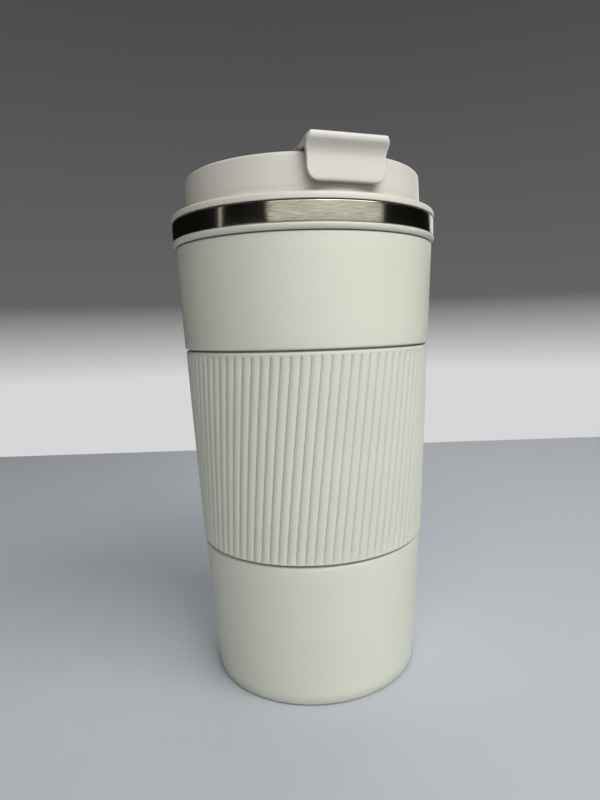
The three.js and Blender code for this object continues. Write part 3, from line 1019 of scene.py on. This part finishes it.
def lid_skirt(material):
    """Threaded plug, flange over the mouth, and the white lip under the steel band."""
    lip, _, top = outer("lid_base")
    plug = PLUG_RADIUS
    plug_bottom = 131.5
    over_mouth_bore = 41.0
    behind_band = outer("trim_ring")[0] - BAND_THICKNESS
    over_mouth = 148.6
    lip_under = 143.4
    lip_top = outer("trim_ring")[1] - SEAM
    corners = [
        (34.2, plug_bottom, 0.3),
        (plug, plug_bottom, 0.4),
        (plug, over_mouth, 0.3),
        (over_mouth_bore, over_mouth, 0.3),
        (over_mouth_bore, lip_under + 1.4, 0.4),
        (41.6, lip_under, 0.25),
        (lip, lip_under, 1.3),
        (lip, lip_top, 0.4),
        (behind_band, lip_top, 0),
        (behind_band, top, 0),
        (behind_band - 1.2, top, 0),
        (behind_band - 1.2, over_mouth + 1.6, 0.4),
        (plug - 1.6, over_mouth + 1.6, 0.4),
        (plug - 1.6, 133.4, 0.4),
    ]
    made = turned("lid_skirt", rounded(corners, 8))
    ridges = thread_ridges(root=plug, crest=37.8, from_z=133, to_z=141, phase_z=133)
    combined(made, ridges, "UNION")
    dressed(made, "lid", material, "lid_plastic", "lid_base")


def lid_core(material):
    """Core of the plug, with the pouring duct and the vent tube."""
    bead, low, top = outer("lid_core")
    core = CORE_RADIUS
    sheet = 1.6
    bead_top = 126.6
    rim = 131.2
    corners = [
        (0, low, 0),
        (bead, low, 0.6),
        (bead, bead_top, 0.4),
        (core, bead_top, 0.2),
        (core, rim, 0.3),
        (core - sheet, rim, 0.3),
        (core - sheet, low + sheet, 0.8),
        (0, low + sheet, 0),
    ]
    made = turned("plug_core", rounded(corners), columns=160)
    duct = slot_outline(SPOUT_FORWARD, SPOUT_HALF_WIDTH + 1.2, SPOUT_HALF_DEPTH + 1.2)
    tubes = [
        upright("duct", duct, low + 0.8, top),
        upright("vent_tube", disc_outline(VENT_FORWARD, VENT_RADIUS + 1.2), low + 0.8, top),
    ]
    combined(made, tubes, "UNION")
    combined(made, drinking_holes(low - 1, top + 1), "DIFFERENCE")
    dressed(made, "lid", material, "lid_plastic", "lid_core")


def lipped_gasket(material):
    """Silicone ring with two soft lips that press on the seat."""
    radius, low, high = outer("lid_gasket")
    bore = 34.2
    corners = [
        (bore, low, 0.3),
        (radius - 0.6, low, 0.3),
        (radius, low + 0.6, 0.3),
        (radius, low + 1.3, 0.25),
        (radius - 0.9, low + 1.9, 0.3),
        (radius - 0.9, low + 2.2, 0.3),
        (radius, low + 2.8, 0.3),
        (radius, low + 3.5, 0.3),
        (radius - 0.6, high, 0.3),
        (bore, high, 0.3),
    ]
    made = turned("lipped_gasket", rounded(corners, 4))
    dressed(made, "seal", material, "seal_silicone", "lid_gasket")


def steel_pin(material):
    """Hinge pin, with its ends chamfered round."""
    radius = 1.0
    half = 10.3
    corners = [
        (0, -half, 0),
        (radius, -half, 0.25),
        (radius, half, 0.25),
        (0, half, 0),
    ]
    made = turned("steel_pin", rounded(corners, 4), columns=48)
    made.data.transform(Matrix.Translation(HINGE) @ Matrix.Rotation(pi / 2, 4, "Y"))
    dressed(made, "lid", material, "hidden_steel", "hinge_pin")


# ---------------------------------------------------------------- flip cover

# Heights in this section are over the hinge, and reaches are in front of it.
TAB_BOTTOM = -8.4
TAB_HALF = 11.5
TAB_BACK = 33.2
TAB_FACE = 34.7
LIP_HALF = 11.95
LIP_FACE = 37.3
LIP_TOP = 4.0


def flip_side():
    """Side view as (reach in front of the hinge, height over it): barrel, strap, tab and lip."""
    barrel = 2.4
    corners = [
        *[(barrel * cos(radians(a)), barrel * sin(radians(a)), 0) for a in range(100, 376, 12)],
        (TAB_BACK, 0.8, 1.0),
        (TAB_BACK, TAB_BOTTOM, 0.5),
        (TAB_FACE, TAB_BOTTOM, 0.95),
        (TAB_FACE, 0.2, 3.6),
        (LIP_FACE, 2.1, 1.3),
        (LIP_FACE, LIP_TOP, 0.9),
        (34.8, 3.75, 3.0),
        (31.5, 2.4, 3.0),
    ]
    return rounded(corners, 8)


def flip_front():
    """Front view as (x, height over the hinge): round-cornered tab that flares to the lip."""
    half = [
        (TAB_HALF, TAB_BOTTOM, 3.7),
        (TAB_HALF, -1.6, 3.0),
        (LIP_HALF, 1.6, 1.5),
        (LIP_HALF, LIP_TOP, 2.0),
    ]
    return rounded(mirrored(half), 10)


def flip_plan():
    """Top view as (x, y): narrow between the lugs, then as wide as the lip."""
    between_lugs = 7.6
    half = [
        (between_lugs, 3.4, 0.5),
        (between_lugs, -5.0, 1.2),
        (LIP_HALF, -6.6, 2.6),
        (LIP_HALF, -LIP_FACE - 0.05, 1.6),
    ]
    return rounded(mirrored(half), 10)


def flip_lid(material):
    """Strap, tab and thumb lip in one soft-edged moulding."""
    wide = LIP_HALF + 1.55  # the front and plan limits cut this back
    made = sideways("flip_lid", flip_side(), -wide, wide)
    limits = [
        frontways("flip_front_limit", flip_front(), -3.5, 38.5),
        upright("flip_plan_limit", flip_plan(), -9.5, 5),
    ]
    combined(made, limits, "INTERSECT")
    combined(made, [sideways("flip_pin_cutter", circle(0, 0, 1.15), -12, 12)], "DIFFERENCE")
    remesh = made.modifiers.new("even_skin", "REMESH")
    remesh.mode = "VOXEL"
    remesh.voxel_size = 0.2
    remesh.use_smooth_shade = True
    smooth = made.modifiers.new("soft_edges", "SMOOTH")
    smooth.factor = 0.5
    smooth.iterations = 12
    settled(made)
    made.data.transform(Matrix.Translation(HINGE))
    dressed(made, "flip", material, "lid_plastic", "flip_cover")


def stopper(name, material, node_name, flange_outline, nose_outline, nose_low):
    """Silicone flange that lies on the deck, with a nose in the hole below it."""
    made = softened(upright(name, flange_outline, DECK + 0.1, HINGE.z + 0.7), 0.35, 4)
    nose = softened(upright(f"{name}_nose", nose_outline, nose_low, DECK + 0.6), 0.25, 4)
    combined(made, [nose], "UNION")
    dressed(made, "flip", material, "seal_silicone", node_name)


def stoppers(material):
    """Plug of the drinking hole and button of the vent hole."""
    stopper(
        "soft_spout_stopper",
        material,
        "spout_stopper",
        flange_outline=slot_outline(SPOUT_FORWARD, 9.5, 5.4),
        nose_outline=slot_outline(SPOUT_FORWARD, 7.4, 3.4),
        nose_low=159.0,
    )
    stopper(
        "soft_vent_stopper",
        material,
        "vent_stopper",
        flange_outline=disc_outline(VENT_FORWARD, 2.8),
        nose_outline=disc_outline(VENT_FORWARD, 1.0),
        nose_low=160.0,
    )


# ---------------------------------------------------------------- hidden CAD pieces


def finish_hidden_pieces(steel):
    """Pieces sealed in the vacuum space keep their CAD shape and get a finish."""
    finishes = {
        "shell_bottom": steel,
        "vacuum_seal": fused_bead(),
        "getter": sintered_metal(),
    }
    for name, material in finishes.items():
        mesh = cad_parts[name].data
        mesh.materials.clear()
        mesh.materials.append(material)


# ---------------------------------------------------------------- studio

CAMERA_AZIMUTH = -17.8  # round the mug from its front, positive towards +X
CAMERA_DISTANCE = 200.75  # from the mug's axis
CAMERA_HEIGHT = 117.86
CAMERA_YAW = 1.197  # away from straight at the axis
CAMERA_PITCH = 7.758  # downwards
CAMERA_ROLL = -1.684
CAMERA_LENS = 25.92
CAMERA_SENSOR = 36
CAMERA_SHIFT = (-0.0262, 0.0044)

FLOOR_BEHIND = 354  # from the mug's axis to the table's far edge, away from the camera
FLOOR_REACH = 650  # from the mug's axis to the table's other edges

# Tone of the backdrop from straight down, 0, past the horizon, 0.5, to straight up, 1
# The pale stops below the horizon are painted light and the grey ones above it are painted shade.
BACKDROP_STOPS = [(0.0, 0.64), (0.46, 0.68), (0.52, 0.125), (0.62, 0.10), (0.8, 0.05)]


def floor_material():
    """Pale cool grey table top with a faint drift of tone."""
    material, tree, shader = new_material("pale_floor")
    drift_node = placed(
        tree, TONE_DRIFT, Colour=(0.60, 0.632, 0.675, 1), Drift=0.01, Gloss=0.5, Gloss_change=0.02
    )
    tree.links.new(drift_node.outputs["Colour"], shader.inputs["Base Color"])
    tree.links.new(drift_node.outputs["Roughness"], shader.inputs["Roughness"])
    return material


def studio_floor():
    """Pale table top, whose far edge runs square to the camera's view."""
    bm = bmesh.new()
    corners = [
        (-FLOOR_REACH, -FLOOR_REACH),
        (FLOOR_REACH, -FLOOR_REACH),
        (FLOOR_REACH, FLOOR_BEHIND),
        (-FLOOR_REACH, FLOOR_BEHIND),
    ]
    bm.faces.new([bm.verts.new((x, y, 0)) for x, y in corners])
    bmesh.ops.rotate(bm, verts=bm.verts, matrix=Matrix.Rotation(radians(CAMERA_AZIMUTH), 3, "Z"))
    made = object_from(bm, "studio_floor")
    made.data.transform(Matrix.Scale(MM, 4))
    made.data.materials.append(floor_material())


def soft_light(name, azimuth, elevation, distance, width, height, power):
    """Area light aimed at the middle of the mug. Azimuth runs as the camera's does.

    Distance, width and height are in metres, and power is in watts.
    """
    lamp = bpy.data.lights.new(name, "AREA")
    lamp.shape = "RECTANGLE"
    lamp.size = width
    lamp.size_y = height
    lamp.energy = power
    made = bpy.data.objects.new(name, lamp)
    bpy.context.scene.collection.objects.link(made)
    turn = radians(azimuth)
    rise = radians(elevation)
    direction = Vector((sin(turn) * cos(rise), -cos(turn) * cos(rise), sin(rise)))
    middle = Vector((0, 0, 0.09))
    made.location = middle + direction * distance
    made.rotation_euler = direction.to_track_quat("Z", "Y").to_euler()
    made.visible_camera = False


def studio_lights():
    """Wide window in front, two lights over it, two behind, and a strip that streaks the steel."""
    soft_light(
        "front_window", azimuth=2, elevation=12, distance=0.9, width=1.93, height=0.4, power=1.7
    )
    soft_light(
        "front_high", azimuth=-20, elevation=42, distance=1.0, width=0.8, height=0.5, power=2.3
    )
    soft_light(
        "right_high", azimuth=26, elevation=46, distance=1.0, width=0.8, height=0.5, power=6.4
    )
    soft_light(
        "back_overhead", azimuth=162, elevation=60, distance=1.0, width=1.0, height=0.8, power=2.2
    )
    soft_light(
        "back_window", azimuth=150, elevation=20, distance=1.0, width=1.0, height=0.4, power=1.1
    )
    soft_light(
        "left_strip", azimuth=-88, elevation=12, distance=1.0, width=0.025, height=0.5, power=0.045
    )


def studio_world():
    """Background of painted light and shade, pale below the horizon and grey above it, as a wall lit low
    and shadowed from above. It gives almost no light.
    """
    world = bpy.data.worlds.new("studio_world")
    bpy.context.scene.world = world
    world.use_nodes = True
    tree = world.node_tree
    direction = node(tree, "ShaderNodeTexCoord").outputs["Generated"]
    height = node(tree, "ShaderNodeSeparateXYZ", {0: direction}).outputs["Z"]
    ramp = node(tree, "ShaderNodeValToRGB")
    bands = ramp.color_ramp.elements
    while len(bands) < len(BACKDROP_STOPS):
        bands.new(0.5)
    for band, (place, tone) in zip(bands, BACKDROP_STOPS):
        band.position = place
        band.color = (tone, tone, tone, 1)
    spread = node(tree, "ShaderNodeMapRange", {"Value": height, "From Min": -1.0, "From Max": 1.0})
    tree.links.new(spread.outputs["Result"], ramp.inputs["Fac"])
    seen = tree.nodes["Background"]
    tree.links.new(ramp.outputs["Color"], seen.inputs["Color"])
    unseen = node(tree, "ShaderNodeBackground", {"Color": (0.004, 0.004, 0.004, 1)})
    rays = node(tree, "ShaderNodeLightPath")
    both = node(tree, "ShaderNodeMixShader", {0: rays.outputs["Is Camera Ray"]})
    tree.links.new(unseen.outputs[0], both.inputs[1])
    tree.links.new(seen.outputs[0], both.inputs[2])
    tree.links.new(both.outputs[0], tree.nodes["World Output"].inputs["Surface"])


# ---------------------------------------------------------------- camera


def camera():
    """Camera close in front of the mug, a little above its middle, tilted down and slightly rolled."""
    lens = bpy.data.cameras.new("camera")
    lens.lens = CAMERA_LENS
    lens.sensor_width = CAMERA_SENSOR
    lens.shift_x, lens.shift_y = CAMERA_SHIFT
    lens.clip_start = 0.01
    made = bpy.data.objects.new("camera", lens)
    bpy.context.scene.collection.objects.link(made)
    yaw = radians(CAMERA_YAW)
    pitch = radians(CAMERA_PITCH)
    roll = radians(CAMERA_ROLL)
    ahead = Vector((sin(yaw) * cos(pitch), cos(yaw) * cos(pitch), -sin(pitch)))
    level = Vector((cos(yaw), -sin(yaw), 0))
    above = level.cross(ahead)
    right = level * cos(roll) + above * sin(roll)
    up = above * cos(roll) - level * sin(roll)
    turn = Matrix.Rotation(radians(CAMERA_AZIMUTH), 3, "Z")
    axes = Matrix((right, up, -ahead)).transposed()
    place = turn @ Vector((0, -CAMERA_DISTANCE, CAMERA_HEIGHT)) * MM
    made.matrix_world = Matrix.Translation(place) @ (turn @ axes).to_4x4()
    bpy.context.scene.camera = made


def plain_tones():
    """Shows colours as they are lit, with no film curve."""
    bpy.context.scene.view_settings.view_transform = "Standard"


# ---------------------------------------------------------------- everything


def mug():
    plastic = lid_plastic("warm_white_lid_plastic", 0.6, 4.0)
    # The flip's copy of the lid plastic carries fuller, wider painted shade, to darken the hollow under
    # its thumb lip.
    deeply_shaded_flip_plastic = lid_plastic("warm_white_flip_plastic", 1.0, 10.0)
    silicone = seal_silicone()
    steel = plain_steel()
    spun = liner_steel()
    painted_shell(painted_steel())
    ribbed_sleeve(sleeve_silicone())
    steel_liner(spun)
    base_cap(spun)
    ringed_foot_pad(foot_silicone())
    finish_hidden_pieces(steel)
    lid_top(plastic)
    steel_band(trim_steel())
    lid_skirt(plastic)
    lid_core(plastic)
    lipped_gasket(silicone)
    steel_pin(steel)
    flip_lid(deeply_shaded_flip_plastic)
    stoppers(silicone)


camera()
plain_tones()
mug()
studio_floor()
studio_lights()
studio_world()
